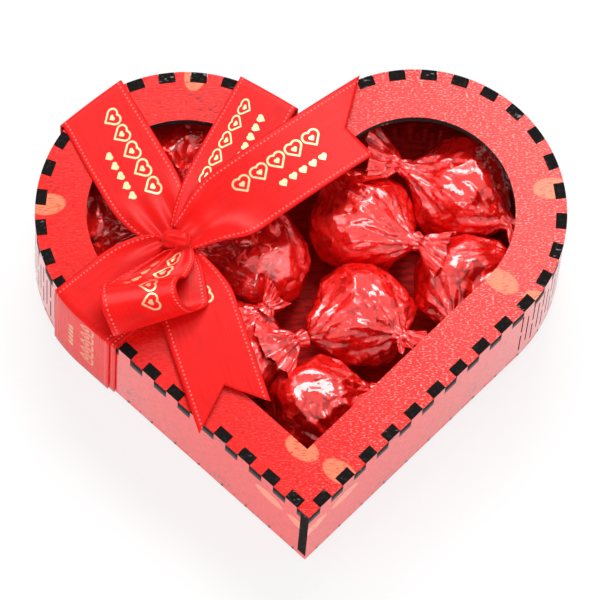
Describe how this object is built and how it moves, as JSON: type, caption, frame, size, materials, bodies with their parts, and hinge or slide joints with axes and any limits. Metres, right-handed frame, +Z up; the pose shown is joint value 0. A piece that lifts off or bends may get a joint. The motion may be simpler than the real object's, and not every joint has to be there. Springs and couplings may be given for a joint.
{
  "type": "heart gift box",
  "caption": "Heart-shaped finger-jointed gift box with a windowed lid, slit bent walls, a tied satin ribbon and foil-wrapped chocolate balls.",
  "frame": {"origin": "middle of the heart's outline, on the surface that the box stands on", "axes": "+Z up, +X to the right lobe, -Y to the heart's tip"},
  "size_m": [0.15, 0.133, 0.0533],
  "materials": {
    "printed_board": "thin board with a satin red print and burnt dark cut edges",
    "satin_ribbon": "red satin ribbon with stitched selvedges and gold printed motifs",
    "wrapper_foil": "crinkled glossy red wrapping film",
    "chocolate": "smooth dark brown chocolate"
  },
  "bodies": {
    "box": {"bottom_panel": "printed_board", "wall_left": "printed_board", "wall_right": "printed_board", "ribbon_under_long": "satin_ribbon", "ribbon_under_short": "satin_ribbon", "candy_middle_wrapper": "wrapper_foil", "candy_right_lobe_wrapper": "wrapper_foil", "candy_under_knot_wrapper": "wrapper_foil", "candy_tip_wrapper": "wrapper_foil", "candy_right_wrapper": "wrapper_foil", "candy_under_tail_wrapper": "wrapper_foil", "candy_left_lobe_wrapper": "wrapper_foil", "candy_left_top_wrapper": "wrapper_foil", "candy_under_bow_wrapper": "wrapper_foil", "candy_middle_chocolate": "chocolate", "candy_right_lobe_chocolate": "chocolate", "candy_under_knot_chocolate": "chocolate", "candy_tip_chocolate": "chocolate", "candy_right_chocolate": "chocolate", "candy_under_tail_chocolate": "chocolate", "candy_left_lobe_chocolate": "chocolate", "candy_left_top_chocolate": "chocolate", "candy_under_bow_chocolate": "chocolate"},
    "lid": {"lid_panel": "printed_board"},
    "ribbon": {"ribbon_strap_back_left": "satin_ribbon", "ribbon_strap_cleft": "satin_ribbon", "ribbon_strap_front_inner": "satin_ribbon", "ribbon_strap_front": "satin_ribbon", "ribbon_knot": "satin_ribbon", "ribbon_loop": "satin_ribbon", "ribbon_end_back": "satin_ribbon", "ribbon_end_front": "satin_ribbon"},
    "centre_candy": {"candy_centre_wrapper": "wrapper_foil", "candy_centre_chocolate": "chocolate"}
  },
  "joints": [
    {"name": "lid_lift", "type": "slide", "parent": "box", "child": "lid", "axis": [0, 0, 1], "range_m": [0, 0.06]},
    {"name": "ribbon_lift", "type": "slide", "parent": "lid", "child": "ribbon", "axis": [0, 0, 1], "range_m": [0, 0.06]},
    {"name": "candy_lift", "type": "slide", "parent": "box", "child": "centre_candy", "axis": [0, 0, 1], "range_m": [0, 0.06]}
  ]
}
